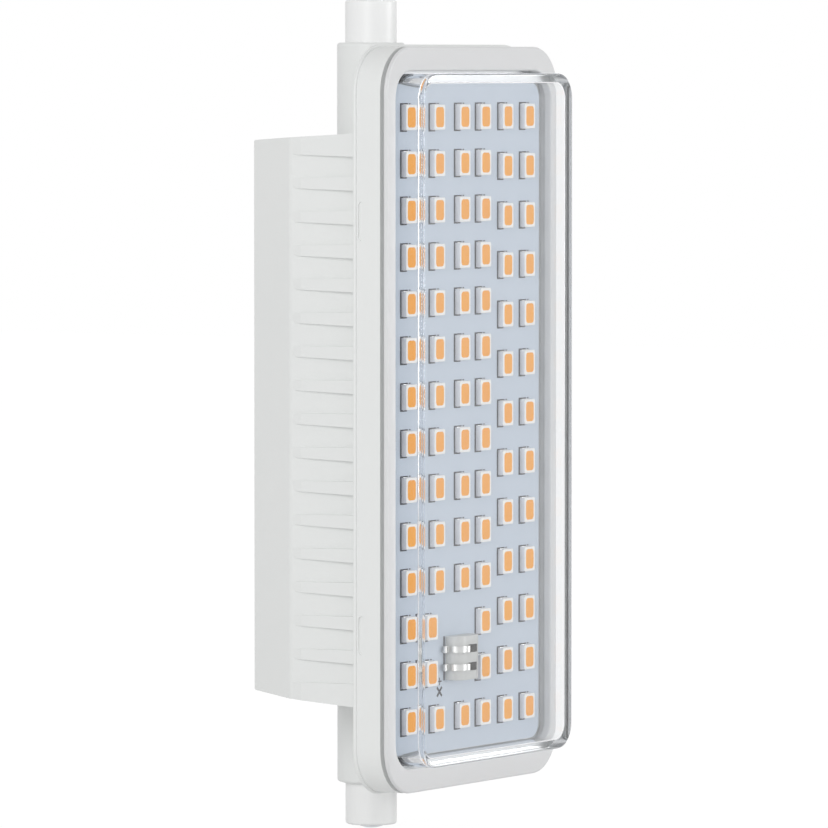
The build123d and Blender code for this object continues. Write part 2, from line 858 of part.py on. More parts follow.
# Lower cap: an insulating sleeve that plugs into the neck
with BuildPart() as lower_cap:
    with BuildSketch(Plane.XY.offset(contact_proud)):
        Circle(cap_radius)
    extrude(amount=cap_length)
    fillet(lower_cap.edges().sort_by(Axis.Z)[0], cap_edge_radius)
    with BuildSketch(Plane.XY.offset(shoulder)):
        Circle(neck_bore_radius - spigot_clearance)
    extrude(amount=spigot_length)
    with BuildSketch(Plane.XY.offset(contact_proud)):
        Circle(contact_head_radius + contact_clearance)
    extrude(amount=contact_seat_depth, mode=Mode.SUBTRACT)
    with BuildSketch(Plane.XY.offset(contact_proud)):
        Circle(contact_shank_radius + contact_clearance)
    extrude(amount=cap_length + spigot_length, mode=Mode.SUBTRACT)
save(lower_cap.part, "lower_cap")

# Lower contact: a domed rivet whose head seats in the cap
with BuildPart() as lower_contact:
    seat = contact_proud + contact_seat_depth
    with BuildSketch(Plane.XZ):
        with BuildLine():
            dome = TangentArc((0, 0), (contact_head_radius, contact_dome), tangent=(1, 0))
            Polyline(
                dome @ 1,
                (contact_head_radius, seat),
                (contact_shank_radius, seat),
                (contact_shank_radius, shoulder + spigot_length),
                (0, shoulder + spigot_length),
                (0, 0),
            )
        make_face()
    revolve(axis=Axis.Z)
save(lower_contact.part, "lower_contact")

with BuildPart() as upper_cap:
    mirror(lower_cap.part, about=Plane.XY.offset(middle))
save(upper_cap.part, "upper_cap")

with BuildPart() as upper_contact:
    mirror(lower_contact.part, about=Plane.XY.offset(middle))
save(upper_contact.part, "upper_contact")

# Insulated leads from the contacts to the driver board
for side, place, pad_rise in ((-1, "lower", lower_pad_rise), (1, "upper", upper_pad_rise)):
    lead_start = middle + side * (middle - shoulder - spigot_length)
    with BuildPart() as lead:
        with BuildLine():
            FilletPolyline(
                (0, 0, lead_start),
                (0, 0, middle + pad_rise),
                (0, -driver_rear, middle + pad_rise),
                radius=lead_bend,
            )
        with BuildSketch(Plane.XY.offset(lead_start)):
            Circle(lead_radius)
        sweep()
    save(lead.part, f"{place}_lead")
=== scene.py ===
import bmesh
import bpy
from math import pi, radians, sqrt
from mathutils import Matrix, Vector


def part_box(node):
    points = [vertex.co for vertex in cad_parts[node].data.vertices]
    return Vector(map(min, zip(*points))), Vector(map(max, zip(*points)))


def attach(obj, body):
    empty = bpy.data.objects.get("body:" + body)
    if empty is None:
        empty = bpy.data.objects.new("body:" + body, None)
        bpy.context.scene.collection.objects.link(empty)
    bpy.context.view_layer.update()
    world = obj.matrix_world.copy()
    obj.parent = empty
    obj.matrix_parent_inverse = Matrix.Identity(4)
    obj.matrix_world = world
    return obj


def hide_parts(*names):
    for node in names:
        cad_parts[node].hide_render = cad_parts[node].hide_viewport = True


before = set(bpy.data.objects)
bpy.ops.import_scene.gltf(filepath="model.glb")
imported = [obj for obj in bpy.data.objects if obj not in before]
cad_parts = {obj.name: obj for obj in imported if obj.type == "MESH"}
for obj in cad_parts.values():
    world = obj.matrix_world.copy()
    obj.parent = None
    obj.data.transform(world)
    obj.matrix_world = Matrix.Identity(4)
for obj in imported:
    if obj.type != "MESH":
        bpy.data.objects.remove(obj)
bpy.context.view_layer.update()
print("frame loaded:", len(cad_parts), "nodes")

# Everything is in metres. The lamp stands on its lower contact and shines towards -Y.

view = {
    "eye": (-0.8636, -0.5437, 0.10916),
    "turn": -58.148,  # degrees about the vertical, 0 looks along +Y
    "tip": 2.824,  # degrees below the horizon
    "lens": 313.4,
    "film": 36.0,
    "near": 0.02,
    "far": 20,
}


def placeCamera():
    tilt = (radians(90 - view["tip"]), 0, radians(view["turn"]))
    bpy.ops.object.camera_add(location=view["eye"], rotation=tilt)
    camera = bpy.context.object
    camera.data.sensor_width = view["film"]
    camera.data.lens = view["lens"]
    camera.data.clip_start = view["near"]
    camera.data.clip_end = view["far"]
    bpy.context.scene.camera = camera
    print("camera placed")


studio = {
    "daylight": 0.58,  # what light that lands on matt faces finds in the backdrop
    "lampPlaces": {"key": (-1.10, -0.30, 0.34), "front": (0.62, -1.0, 0.10)},
    "lampWatts": {"key": 5.2, "front": 5.2},
    "lampSides": {"key": 0.7, "front": 0.5},
    "aim": (0, 0, 0.06),
    "floorSide": 3.0,
    "floorDrop": 0.0001,
    "floorGrey": 0.88,
    "floorRoughness": 0.9,
    "floorGlow": 0.9,  # share of plain white that the floor shows to the eye, gloss and glass
    "floorWhite": 1.06,  # strength of that white
}


def lightPathWhite(tree):
    # 1 where the eye, a reflection or a ray through the cover meets the backdrop
    path = tree.nodes.new("ShaderNodeLightPath")
    total = None
    for ray in ("Is Camera Ray", "Is Glossy Ray", "Is Transmission Ray"):
        if total is None:
            total = path.outputs[ray]
            continue
        either = tree.nodes.new("ShaderNodeMath")
        either.operation = "MAXIMUM"
        tree.links.new(total, either.inputs[0])
        tree.links.new(path.outputs[ray], either.inputs[1])
        total = either.outputs[0]
    return total


def lightStudio():
    world = bpy.data.worlds.new("studioWorld")
    bpy.context.scene.world = world
    world.use_nodes = True
    tree = world.node_tree
    soft = tree.nodes["Background"]
    soft.inputs["Color"].default_value = (1, 1, 1, 1)
    soft.inputs["Strength"].default_value = studio["daylight"]
    white = tree.nodes.new("ShaderNodeBackground")
    white.inputs["Color"].default_value = (1, 1, 1, 1)
    white.inputs["Strength"].default_value = 1
    choose = tree.nodes.new("ShaderNodeMixShader")
    tree.links.new(lightPathWhite(tree), choose.inputs["Fac"])
    tree.links.new(soft.outputs[0], choose.inputs[1])
    tree.links.new(white.outputs[0], choose.inputs[2])
    tree.links.new(choose.outputs[0], tree.nodes["World Output"].inputs["Surface"])

    aim = Vector(studio["aim"])
    for name, place in studio["lampPlaces"].items():
        bpy.ops.object.light_add(type="AREA", location=place)
        lamp = bpy.context.object
        lamp.name = name + "Lamp"
        lamp.data.shape = "DISK"
        lamp.data.size = studio["lampSides"][name]
        lamp.data.energy = studio["lampWatts"][name]
        lamp.rotation_euler = (aim - Vector(place)).to_track_quat("-Z", "Y").to_euler()

    place = (0, 0, -studio["floorDrop"])
    bpy.ops.mesh.primitive_plane_add(size=studio["floorSide"], location=place)
    floor = bpy.context.object
    floor.name = "floor"
    paint = bpy.data.materials.new("floorPaint")
    paint.use_nodes = True
    tree = paint.node_tree
    ground = tree.nodes["Principled BSDF"]
    ground.inputs["Base Color"].default_value = (studio["floorGrey"],) * 3 + (1,)
    ground.inputs["Roughness"].default_value = studio["floorRoughness"]
    ground.inputs["Specular IOR Level"].default_value = 0
    glow = tree.nodes.new("ShaderNodeEmission")
    glow.inputs["Strength"].default_value = studio["floorWhite"]
    share = tree.nodes.new("ShaderNodeMath")
    share.operation = "MULTIPLY"
    share.inputs[1].default_value = studio["floorGlow"]
    tree.links.new(lightPathWhite(tree), share.inputs[0])
    choose = tree.nodes.new("ShaderNodeMixShader")
    tree.links.new(share.outputs[0], choose.inputs["Fac"])
    tree.links.new(ground.outputs[0], choose.inputs[1])
    tree.links.new(glow.outputs[0], choose.inputs[2])
    tree.links.new(choose.outputs[0], tree.nodes["Material Output"].inputs["Surface"])
    floor.data.materials.append(paint)
    bpy.context.scene.view_settings.view_transform = "Standard"
    print("studio lit")


# Shared effects, each built once

noiseShape = {"plainDetail": 2.0, "fineDetail": 3.0, "glossScale": 260.0, "tarnishScale": 300.0}


def startGroup(name, inputs, outputs):
    group = bpy.data.node_groups.new(name, "ShaderNodeTree")
    for label, (kind, value) in inputs.items():
        socket = group.interface.new_socket(label, in_out="INPUT", socket_type="NodeSocket" + kind)
        socket.default_value = value
    for label, kind in outputs.items():
        group.interface.new_socket(label, in_out="OUTPUT", socket_type="NodeSocket" + kind)
    return group, group.nodes.new("NodeGroupInput"), group.nodes.new("NodeGroupOutput")


def noiseOn(tree, vector, scale, detail="plainDetail"):
    noise = tree.nodes.new("ShaderNodeTexNoise")
    noise.inputs["Detail"].default_value = noiseShape[detail]
    tree.links.new(vector, noise.inputs["Vector"])
    if isinstance(scale, bpy.types.NodeSocket):
        tree.links.new(scale, noise.inputs["Scale"])
    else:
        noise.inputs["Scale"].default_value = scale
    return noise.outputs["Fac"]


def buildMouldedSkin():
    # Slow drift of colour, fine spark-eroded grain and uneven gloss
    group, entry, leave = startGroup(
        "Moulded Skin",
        {
            "Colour": ("Color", (0.8, 0.8, 0.8, 1)),
            "Drift Colour": ("Color", (0.7, 0.7, 0.7, 1)),
            "Drift Scale": ("Float", 40.0),
            "Grain Scale": ("Float", 3000.0),
            "Roughness": ("Float", 0.4),
            "Roughness Spread": ("Float", 0.1),
        },
        {"Colour": "Color", "Roughness": "Float", "Height": "Float"},
    )
    place = group.nodes.new("ShaderNodeTexCoord").outputs["Object"]
    drift = noiseOn(group, place, entry.outputs["Drift Scale"])
    blend = group.nodes.new("ShaderNodeMix")
    blend.data_type = "RGBA"
    group.links.new(drift, blend.inputs["Factor"])
    group.links.new(entry.outputs["Colour"], blend.inputs[6])
    group.links.new(entry.outputs["Drift Colour"], blend.inputs[7])
    group.links.new(blend.outputs[2], leave.inputs["Colour"])
    uneven = noiseOn(group, place, noiseShape["glossScale"], "fineDetail")
    gloss = group.nodes.new("ShaderNodeMath")
    gloss.operation = "MULTIPLY_ADD"
    group.links.new(uneven, gloss.inputs[0])
    group.links.new(entry.outputs["Roughness Spread"], gloss.inputs[1])
    group.links.new(entry.outputs["Roughness"], gloss.inputs[2])
    group.links.new(gloss.outputs[0], leave.inputs["Roughness"])
    grain = noiseOn(group, place, entry.outputs["Grain Scale"], "fineDetail")
    group.links.new(grain, leave.inputs["Height"])
    return group


def buildDrawnMetal():
    # Lines left by drawing or rolling, along the chosen direction
    group, entry, leave = startGroup(
        "Drawn Metal",
        {
            "Stretch": ("Vector", (1.0, 1.0, 0.05)),
            "Scale": ("Float", 5000.0),
            "Roughness": ("Float", 0.25),
            "Roughness Spread": ("Float", 0.15),
        },
        {"Roughness": "Float", "Height": "Float", "Tarnish": "Float"},
    )
    place = group.nodes.new("ShaderNodeTexCoord").outputs["Object"]
    pull = group.nodes.new("ShaderNodeVectorMath")
    pull.operation = "MULTIPLY"
    group.links.new(place, pull.inputs[0])
    group.links.new(entry.outputs["Stretch"], pull.inputs[1])
    lines = noiseOn(group, pull.outputs[0], entry.outputs["Scale"], "fineDetail")
    gloss = group.nodes.new("ShaderNodeMath")
    gloss.operation = "MULTIPLY_ADD"
    group.links.new(lines, gloss.inputs[0])
    group.links.new(entry.outputs["Roughness Spread"], gloss.inputs[1])
    group.links.new(entry.outputs["Roughness"], gloss.inputs[2])
    group.links.new(gloss.outputs[0], leave.inputs["Roughness"])
    group.links.new(lines, leave.inputs["Height"])
    tarnish = noiseOn(group, place, noiseShape["tarnishScale"])
    group.links.new(tarnish, leave.inputs["Tarnish"])
    return group


effects = {"skin": buildMouldedSkin(), "metal": buildDrawnMetal()}


def startFinish(name, look):
    finish = bpy.data.materials.new(name)
    finish.use_nodes = True
    shader = finish.node_tree.nodes["Principled BSDF"]
    for socket, value in look.get("fixed", {}).items():
        shader.inputs[socket].default_value = value
    return finish, finish.node_tree, shader


def addBump(tree, height, depth, shader):
    bump = tree.nodes.new("ShaderNodeBump")
    bump.inputs["Distance"].default_value = depth
    bump.inputs["Strength"].default_value = 1
    tree.links.new(height, bump.inputs["Height"])
    tree.links.new(bump.outputs["Normal"], shader.inputs["Normal"])


mouldedUsual = {"driftScale": 40.0, "grainScale": 3000.0, "grainDepth": 0.00001, "spread": 0.1}
metalUsual = {"stretch": (1.0, 1.0, 0.05), "scale": 5000.0, "depth": 0.000003, "spread": 0.12}


def mouldedFinish(name, look):
    look = {**mouldedUsual, **look}
    finish, tree, shader = startFinish(name, look)
    skin = tree.nodes.new("ShaderNodeGroup")
    skin.node_tree = effects["skin"]
    skin.inputs["Colour"].default_value = (*look["colour"], 1)
    skin.inputs["Drift Colour"].default_value = (*look["drift"], 1)
    skin.inputs["Drift Scale"].default_value = look["driftScale"]
    skin.inputs["Grain Scale"].default_value = look["grainScale"]
    skin.inputs["Roughness"].default_value = look["roughness"]
    skin.inputs["Roughness Spread"].default_value = look["spread"]
    tree.links.new(skin.outputs["Colour"], shader.inputs["Base Color"])
    tree.links.new(skin.outputs["Roughness"], shader.inputs["Roughness"])
    addBump(tree, skin.outputs["Height"], look["grainDepth"], shader)
    return finish


def metalFinish(name, look):
    look = {**metalUsual, **look}
    finish, tree, shader = startFinish(name, look)
    shader.inputs["Metallic"].default_value = 1
    metal = tree.nodes.new("ShaderNodeGroup")
    metal.node_tree = effects["metal"]
    metal.inputs["Stretch"].default_value = look["stretch"]
    metal.inputs["Scale"].default_value = look["scale"]
    metal.inputs["Roughness"].default_value = look["roughness"]
    metal.inputs["Roughness Spread"].default_value = look["spread"]
    tint = tree.nodes.new("ShaderNodeMix")
    tint.data_type = "RGBA"
    tint.inputs[6].default_value = (*look["colour"], 1)
    tint.inputs[7].default_value = (*look["tarnish"], 1)
    tree.links.new(metal.outputs["Tarnish"], tint.inputs["Factor"])
    tree.links.new(tint.outputs[2], shader.inputs["Base Color"])
    tree.links.new(metal.outputs["Roughness"], shader.inputs["Roughness"])
    addBump(tree, metal.outputs["Height"], look["depth"], shader)
    return finish


whitePlastic = {
    "colour": (0.80, 0.81, 0.80),
    "drift": (0.765, 0.78, 0.775),
    "driftScale": 30.0,
    "grainScale": 3500.0,
    "grainDepth": 0.000012,
    "roughness": 0.36,
    "spread": 0.12,
}
framePlastic = {
    **whitePlastic,
    "colour": (0.70, 0.705, 0.715),
    "drift": (0.675, 0.68, 0.685),
    "roughness": 0.3,
}
capPlastic = {
    **whitePlastic,
    "colour": (0.88, 0.885, 0.88),
    "drift": (0.86, 0.865, 0.865),
    "roughness": 0.34,
}

coverPlastic = {
    "tint": (0.94, 0.945, 0.95, 1),  # share of light that passes one wall
    "milk": 0.01,  # share of light that the moulding scatters
    "roughness": 0.02,
    "waveScale": 90.0,
    "IOR": 1.45,
    "shine": 0.15,
    "bends": 2.5,  # a ray that met more faces than this goes straight on
}


def clearFinish(name, look):
    finish, tree, shader = startFinish(name, look)
    shader.inputs["Base Color"].default_value = look["tint"]
    shader.inputs["Transmission Weight"].default_value = 1 - look["milk"]
    shader.inputs["IOR"].default_value = look["IOR"]
    shader.inputs["Specular IOR Level"].default_value = look["shine"]
    place = tree.nodes.new("ShaderNodeTexCoord").outputs["Object"]
    gloss = tree.nodes.new("ShaderNodeMath")
    gloss.operation = "MULTIPLY"
    gloss.inputs[1].default_value = look["roughness"]
    tree.links.new(noiseOn(tree, place, look["waveScale"]), gloss.inputs[0])
    tree.links.new(gloss.outputs[0], shader.inputs["Roughness"])
    # A wall has two faces, so each takes the root of the tint
    passing = tree.nodes.new("ShaderNodeBsdfTransparent")
    passing.inputs["Color"].default_value = [sqrt(share) for share in look["tint"]]
    # Light passes into the tray through the cover, and isn't trapped in its walls
    path = tree.nodes.new("ShaderNodeLightPath")
    trapped = tree.nodes.new("ShaderNodeMath")
    trapped.operation = "GREATER_THAN"
    trapped.inputs[1].default_value = look["bends"]
    tree.links.new(path.outputs["Ray Depth"], trapped.inputs[0])
    either = tree.nodes.new("ShaderNodeMath")
    either.operation = "MAXIMUM"
    tree.links.new(path.outputs["Is Shadow Ray"], either.inputs[0])
    tree.links.new(trapped.outputs[0], either.inputs[1])
    choose = tree.nodes.new("ShaderNodeMixShader")
    tree.links.new(either.outputs[0], choose.inputs["Fac"])
    tree.links.new(shader.outputs[0], choose.inputs[1])
    tree.links.new(passing.outputs[0], choose.inputs[2])
    tree.links.new(choose.outputs[0], tree.nodes["Material Output"].inputs["Surface"])
    return finish


finishLooks = {
    "housing_plastic": ("moulded", whitePlastic),
    "frame_plastic": ("moulded", framePlastic),
    "cap_plastic": ("moulded", capPlastic),
    "cover_clear": ("clear", coverPlastic),
    "board_mask": ("moulded", {
        "colour": (0.56, 0.63, 0.72),
        "drift": (0.52, 0.60, 0.705),
        "driftScale": 60.0,
        "grainScale": 1800.0,
        "grainDepth": 0.000006,
        "roughness": 0.32,
    }),
    "package_resin": ("moulded", {
        "colour": (0.93, 0.92, 0.91),
        "drift": (0.90, 0.89, 0.88),
        "driftScale": 300.0,
        "roughness": 0.3,
    }),
    # Outer sides of the packages: greyer partly for the lead frame that shows there, and partly as
    # painted shade from the tray walls and cover
    "package_side_painted_shade": ("moulded", {
        "colour": (0.80, 0.81, 0.84),
        "drift": (0.66, 0.67, 0.72),
        "driftScale": 700.0,
        "roughness": 0.35,
    }),
    "phosphor": ("moulded", {
        "colour": (1.0, 0.42, 0.006),
        "drift": (0.97, 0.37, 0.04),
        "driftScale": 110.0,
        "grainScale": 9000.0,
        "grainDepth": 0.00002,
        "roughness": 0.45,
        "fixed": {"Specular IOR Level": 0.2},
    }),
    "silk": ("moulded", {
        "colour": (0.005, 0.006, 0.016),
        "drift": (0.02, 0.022, 0.04),
        "driftScale": 1500.0,
        "roughness": 0.6,
    }),
    "connector_resin": ("moulded", {
        "colour": (0.60, 0.61, 0.60),
        "drift": (0.56, 0.57, 0.56),
        "roughness": 0.4,
    }),
    # Painted shade: near-black on the resin walls inside the connector's holes, where shade falls
    "connector_hole_painted_shade": ("moulded", {
        "colour": (0.05, 0.05, 0.045),
        "drift": (0.09, 0.085, 0.08),
        "driftScale": 900.0,
        "roughness": 0.6,
    }),
    "tinned_strip": ("metal", {
        "colour": (0.72, 0.72, 0.705),
        "tarnish": (0.58, 0.58, 0.57),
        "roughness": 0.26,
        "scale": 2500.0,
        "depth": 0.000001,
        "stretch": (0.05, 1.0, 1.0),
    }),
    # Painted shade: dark finish on the straps' upper and lower edge faces, standing for the thin
    # shadow line along each strap
    "strip_edge_painted_shade": ("metal", {
        "colour": (0.20, 0.20, 0.20),
        "tarnish": (0.12, 0.12, 0.12),
        "roughness": 0.35,
    }),
    "pin_metal": ("metal", {
        "colour": (0.72, 0.70, 0.66),
        "tarnish": (0.60, 0.58, 0.54),
        "roughness": 0.25,
        "stretch": (1.0, 0.05, 1.0),
    }),
    "contact_metal": ("metal", {
        "colour": (0.62, 0.63, 0.66),
        "tarnish": (0.46, 0.48, 0.53),
        "roughness": 0.24,
        "stretch": (1.0, 1.0, 0.2),
    }),
    "screw_steel": ("metal", {
        "colour": (0.56, 0.57, 0.58),
        "tarnish": (0.45, 0.46, 0.48),
        "roughness": 0.3,
    }),
    "spreader": ("metal", {
        "colour": (0.78, 0.79, 0.80),
        "tarnish": (0.68, 0.69, 0.70),
        "roughness": 0.38,
        "scale": 3000.0,
    }),
    "pad": ("moulded", {
        "colour": (0.36, 0.38, 0.42),
        "drift": (0.32, 0.34, 0.38),
        "grainScale": 1200.0,
        "roughness": 0.7,
    }),
    "spacer_resin": ("moulded", {
        "colour": (0.02, 0.02, 0.022),
        "drift": (0.035, 0.035, 0.036),
        "roughness": 0.45,
    }),
    "laminate": ("moulded", {
        "colour": (0.55, 0.50, 0.30),
        "drift": (0.50, 0.45, 0.26),
        "grainScale": 1500.0,
        "roughness": 0.42,
    }),
    "bulk_sleeve": ("moulded", {
        "colour": (0.018, 0.022, 0.05),
        "drift": (0.03, 0.035, 0.07),
        "roughness": 0.28,
    }),
    "smoothing_sleeve": ("moulded", {
        "colour": (0.012, 0.03, 0.028),
        "drift": (0.025, 0.05, 0.045),
        "roughness": 0.28,
    }),
    "film_case": ("moulded", {
        "colour": (0.60, 0.38, 0.05),
        "drift": (0.54, 0.33, 0.045),
        "roughness": 0.35,
    }),
    "varistor_coat": ("moulded", {
        "colour": (0.05, 0.14, 0.40),
        "drift": (0.04, 0.11, 0.33),
        "grainScale": 1600.0,
        "grainDepth": 0.00003,
        "roughness": 0.4,
    }),
    "fuse_coat": ("moulded", {
        "colour": (0.28, 0.42, 0.30),
        "drift": (0.23, 0.36, 0.26),
        "roughness": 0.5,
    }),
    "bridge_resin": ("moulded", {
        "colour": (0.022, 0.022, 0.024),
        "drift": (0.035, 0.035, 0.038),
        "grainDepth": 0.00002,
        "roughness": 0.55,
    }),
    "chip_resin": ("moulded", {
        "colour": (0.02, 0.02, 0.022),
        "drift": (0.032, 0.032, 0.034),
        "grainDepth": 0.00002,
        "roughness": 0.5,
    }),
    "ferrite": ("moulded", {
        "colour": (0.045, 0.045, 0.048),
        "drift": (0.07, 0.07, 0.072),
        "grainScale": 2200.0,
        "grainDepth": 0.00003,
        "roughness": 0.6,
    }),
    "bobbin_resin": ("moulded", {
        "colour": (0.03, 0.03, 0.03),
        "drift": (0.045, 0.045, 0.045),
        "roughness": 0.4,
    }),
    "winding_tape": ("moulded", {
        "colour": (0.70, 0.52, 0.08),
        "drift": (0.64, 0.46, 0.06),
        "roughness": 0.25,
    }),
    "lead_jacket": ("moulded", {
        "colour": (0.62, 0.63, 0.62),
        "drift": (0.56, 0.57, 0.56),
        "roughness": 0.45,
    }),
}
makers = {"moulded": mouldedFinish, "metal": metalFinish, "clear": clearFinish}
finishes = {name: makers[kind](name, look) for name, (kind, look) in finishLooks.items()}
print("finishes made:", len(finishes))

nodeFinishes = {
    "rear_housing": "housing_plastic",
    "front_frame": "frame_plastic",
    "clear_cover": "cover_clear",
    "led_board": "board_mask",
    "thermal_pad": "pad",
    "heat_spreader": "spreader",
    "led_packages": "package_resin",
    "phosphor_windows": "phosphor",
    "board_connector": "connector_resin",
    "connector_contacts": "tinned_strip",
    "output_pins": "pin_metal",
    "pin_spacer": "spacer_resin",
    "driver_board": "laminate",
    "driver_screws": "screw_steel",
    "bulk_capacitor": "bulk_sleeve",
    "smoothing_capacitor": "smoothing_sleeve",
    "film_capacitor": "film_case",
    "varistor": "varistor_coat",
    "fusible_resistor": "fuse_coat",
    "bridge_rectifier": "bridge_resin",
    "driver_chip": "chip_resin",
    "choke_core": "ferrite",
    "choke_bobbin": "bobbin_resin",
    "choke_winding": "winding_tape",
    "lower_cap": "cap_plastic",
    "upper_cap": "cap_plastic",
    "lower_contact": "contact_metal",
    "upper_contact": "contact_metal",
    "lower_lead": "lead_jacket",
    "upper_lead": "lead_jacket",
}
for node, finish in nodeFinishes.items():
    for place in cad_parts[node].material_slots:
        place.material = finishes[finish]
print("nodes dressed:", len(nodeFinishes))


# Modelling helpers

# Limits for telling which way an edge runs or a face looks
facing = {"along": 0.99, "front": 0.9, "aside": 0.5, "upOrDown": 0.7}


def facesFront(face):
    return face.normal.y < -facing["front"]


def facesAside(face):
    return abs(face.normal.y) < facing["aside"]


def startPiece(name, addPrimitive, **how):
    bpy.ops.object.select_all(action="DESELECT")
    addPrimitive(**how)
    piece = bpy.context.object
    piece.name = piece.data.name = name
    bpy.ops.object.transform_apply(location=True, rotation=True, scale=True)
    return piece


def startBox(name, size, centre):
    return startPiece(name, bpy.ops.mesh.primitive_cube_add, size=1, location=centre, scale=size)


def selectOnly(piece):
    bpy.ops.object.select_all(action="DESELECT")
    piece.select_set(True)
    bpy.context.view_layer.objects.active = piece


def editPiece(piece):
    selectOnly(piece)
    bpy.ops.object.mode_set(mode="EDIT")


def pick(piece, kind, test):
    bpy.ops.mesh.select_mode(type=kind)
    bpy.ops.mesh.select_all(action="DESELECT")
    mesh = bmesh.from_edit_mesh(piece.data)
    for part in {"VERT": mesh.verts, "EDGE": mesh.edges, "FACE": mesh.faces}[kind]:
        part.select_set(bool(test(part)))
    mesh.select_flush_mode()
    bmesh.update_edit_mesh(piece.data)


def leaveEdit():
    bpy.ops.object.mode_set(mode="OBJECT")


def along(edge, axis):
    step = edge.verts[1].co - edge.verts[0].co
    return abs(step[axis]) > facing["along"] * step.length


def applyModifier(piece, name, kind, **settings):
    bpy.context.view_layer.objects.active = piece
    modifier = piece.modifiers.new(name, kind)
    for setting, value in settings.items():
        setattr(modifier, setting, value)
    bpy.ops.object.modifier_apply(modifier=modifier.name)


def cutWith(piece, cutter):
    applyModifier(piece, "cut", "BOOLEAN", operation="DIFFERENCE", object=cutter, solver="EXACT")
    bpy.data.objects.remove(cutter, do_unlink=True)


def softEdges(piece, width, segments=2):
    applyModifier(piece, "edges", "BEVEL", width=width, segments=segments, limit_method="ANGLE")


def joinPieces(name, pieces):
    bpy.ops.object.select_all(action="DESELECT")
    for piece in pieces:
        piece.select_set(True)
    bpy.context.view_layer.objects.active = pieces[0]
    bpy.ops.object.join()
    pieces[0].name = pieces[0].data.name = name
    return pieces[0]


def repeatPiece(model, places):
    copies = []
    for place in places:
        copy = model.copy()
        copy.data = model.data.copy()
        copy.data.transform(Matrix.Translation(place))
        bpy.context.collection.objects.link(copy)
        copies.append(copy)
    name = model.name
    bpy.data.objects.remove(model, do_unlink=True)
    return joinPieces(name, copies)


def dressFaces(piece, finish, other, test):
    # The piece in one finish, and the faces that pass the test in another
    for name in (finish, other):
        piece.data.materials.append(finishes[name])
    editPiece(piece)
    pick(piece, "FACE", test)
    piece.active_material_index = 1
    bpy.ops.object.material_slot_assign()
    leaveEdit()


def finishPiece(piece, finish, angle=30):
    if not piece.data.materials:
        piece.data.materials.append(finishes[finish])
    selectOnly(piece)
    bpy.ops.object.shade_smooth_by_angle(angle=radians(angle))
    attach(piece, "root")


# Light-emitting packages

ledLayout = {
    "columns": (  # place across and number of rows
        (-0.01515, 14), (-0.0092, 14), (-0.00245, 14), (0.00315, 14), (0.0092, 13), (0.01515, 13),
    ),
    "longRows": 14,  # the columns of this many rows run past the connector
    "halfSpan": 0.042,
    "middle": 0.059,
    "besideConnector": (11, 12),  # rows that make room for the connector
    "shiftedColumn": 1,
    "shift": -0.0019,
    "bareColumn": 2,
}
ledShape = {
    "width": 0.0028,
    "height": 0.0035,
    "rise": 0.0008,
    "corner": 0.00022,
    "rim": 0.00005,
    "windowWidth": 0.00226,
    "windowHeight": 0.00296,
    "windowCorner": 0.00056,
    "cupDepth": 0.00035,
    "cupTaper": 0.86,
    "cutAbove": 0.0002,
    "fillWidth": 0.97,  # shares of the window
    "fillHeight": 0.98,
    "fillTaper": 0.95,
    "fillDrop": 0.00003,
    "fillSmooth": 50,
    "dome": 0.00006,
    "domeInset": 0.1,
    "domeSteps": (0.7, 0.3),
    "sideShare": 0.45,  # faces further out than this share of the size are outer sides
}
padShape = {
    "width": 0.0021,
    "height": 0.0005,
    "rise": 0.00012,
    "reach": 0.00007,
    "edge": 0.00004,
}
silkShape = {
    "margin": 0.00024,
    "sideLine": 0.00036,
    "endLine": 0.00022,
    "rise": 0.00002,
    "topRun": 0.0017,
    "topGap": 0.0003,
    "topDot": 0.00035,
    "bottomRun": 0.0014,
}
markShape = {
    "arm": 0.00042,
    "line": 0.00021,
    "rise": 0.00002,
    "plus": (-0.00806, 0.02215),  # place across and up, on the board
    "cross": (-0.0081, 0.0207),
    "crossSize": 1.7,
}

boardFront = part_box("led_board")[0].y


def ledPlaces():
    places = []
    for column, (x, rows) in enumerate(ledLayout["columns"]):
        for row in range(rows):
            atLongRow = rows == ledLayout["longRows"]
            besideConnector = atLongRow and row in ledLayout["besideConnector"]
            if besideConnector and column == ledLayout["bareColumn"]:
                continue
            moved = besideConnector and column == ledLayout["shiftedColumn"]
            shift = ledLayout["shift"] if moved else 0
            rise = ledLayout["halfSpan"] * (1 - 2 * row / (rows - 1))
            places.append((x + shift, boardFront, ledLayout["middle"] + rise))
    return places


def roundedBlock(name, width, height, corner, back, front, taper):
    # A block with round corners, narrower at its back
    piece = startBox(name, (width, back - front, height), (0, (back + front) / 2, 0))
    editPiece(piece)
    pick(piece, "EDGE", lambda edge: along(edge, 1))
    bpy.ops.mesh.bevel(offset=corner, segments=4, affect="EDGES")
    pick(piece, "VERT", lambda vert: vert.co.y > (back + front) / 2)
    bpy.ops.transform.resize(value=(taper, 1, taper))
    leaveEdit()
    return piece


